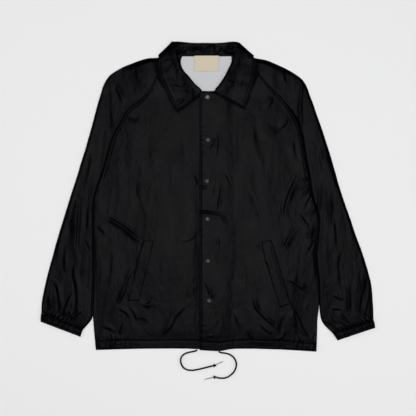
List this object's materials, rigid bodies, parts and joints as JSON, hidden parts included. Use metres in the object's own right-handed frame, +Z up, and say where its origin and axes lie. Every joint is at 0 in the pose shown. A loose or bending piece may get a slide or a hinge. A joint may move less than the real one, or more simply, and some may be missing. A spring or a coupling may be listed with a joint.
{
  "type": "coach jacket, laid flat",
  "caption": "Snap-front nylon coach jacket lying face up, with raglan sleeves, shirt collar, elastic cuffs, slanted welt pockets and a hem drawcord.",
  "frame": {"origin": "middle of the jacket's outline, without its drawcord ends, on the surface that it lies on", "axes": "+X across the jacket towards the wearer's left sleeve, +Y from the hem to the collar, +Z up, out of the jacket's front"},
  "size_m": [0.869, 0.8786, 0.0109],
  "materials": {
    "shell_nylon": "black nylon taffeta with a soft sheen",
    "lining": "light grey smooth lining",
    "label": "cream woven label, bare",
    "snap_metal": "black enamelled cap, glossy",
    "cord": "black braided cord, matt",
    "cord_tip": "dark grey heat-shrunk tip"
  },
  "bodies": {
    "root": {"back": "shell_nylon", "front_right": "shell_nylon", "front_left": "shell_nylon", "pocket_welt_right": "shell_nylon", "pocket_welt_left": "shell_nylon", "sleeve_right": "shell_nylon", "sleeve_left": "shell_nylon", "cuff_right": "shell_nylon", "cuff_left": "shell_nylon", "collar_stand_right": "shell_nylon", "collar_stand_back": "shell_nylon", "collar_stand_left": "shell_nylon", "collar_fall": "shell_nylon", "lining_neck": "lining", "label": "label", "snap_1": "snap_metal", "snap_2": "snap_metal", "snap_3": "snap_metal", "snap_4": "snap_metal", "snap_5": "snap_metal", "snap_6": "snap_metal", "drawcord_right": "cord", "drawcord_left": "cord", "knot_right": "cord", "knot_left": "cord", "cord_tip_right": "cord_tip", "cord_tip_left": "cord_tip"}
  },
  "joints": []
}
